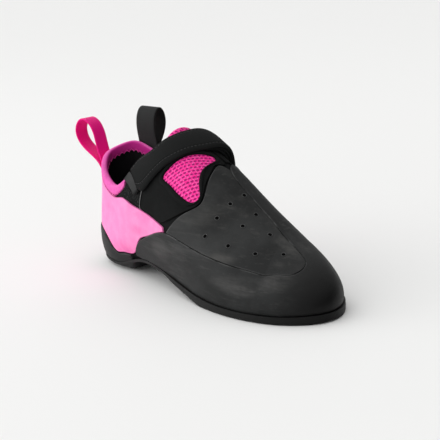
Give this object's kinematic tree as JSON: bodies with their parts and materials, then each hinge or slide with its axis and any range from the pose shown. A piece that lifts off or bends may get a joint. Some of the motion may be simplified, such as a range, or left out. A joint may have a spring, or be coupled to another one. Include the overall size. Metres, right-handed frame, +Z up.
{
  "type": "climbing shoe",
  "caption": "Right climbing shoe with rubber toe patch and rand, hollow padded upper, closing strap over the instep and webbing pull loops at the collar.",
  "frame": {"origin": "on the floor, in the middle of the heel's contact patch and on the shoe's long line", "axes": "+X towards the toe, +Y towards the medial (big toe) side, +Z up"},
  "size_m": [0.2643, 0.0756, 0.1065],
  "materials": {
    "rand_rubber": "matte",
    "sole_rubber": "matte",
    "lining": "woven mesh",
    "board": "matte",
    "pink_microfibre": "soft nap",
    "black_microfibre": "soft nap",
    "stretch": "fuzzy",
    "pink_webbing": "satin weave",
    "black_webbing": "satin weave",
    "tab": "matte"
  },
  "bodies": {
    "root": {"upper": "lining", "outsole_front": "sole_rubber", "arch_sole": "rand_rubber", "outsole_heel": "sole_rubber", "insole": "board", "rand": "rand_rubber", "toe_patch": "rand_rubber", "heel_cup": "rand_rubber", "heel_panel": "pink_microfibre", "quarter_lateral": "black_microfibre", "quarter_medial": "black_microfibre", "gore_lateral": "stretch", "gore_medial": "stretch", "collar_binding": "pink_microfibre", "strap": "black_microfibre", "strap_tab": "tab", "pull_loop_heel": "pink_webbing", "pull_loop_side": "black_webbing"}
  },
  "joints": []
}
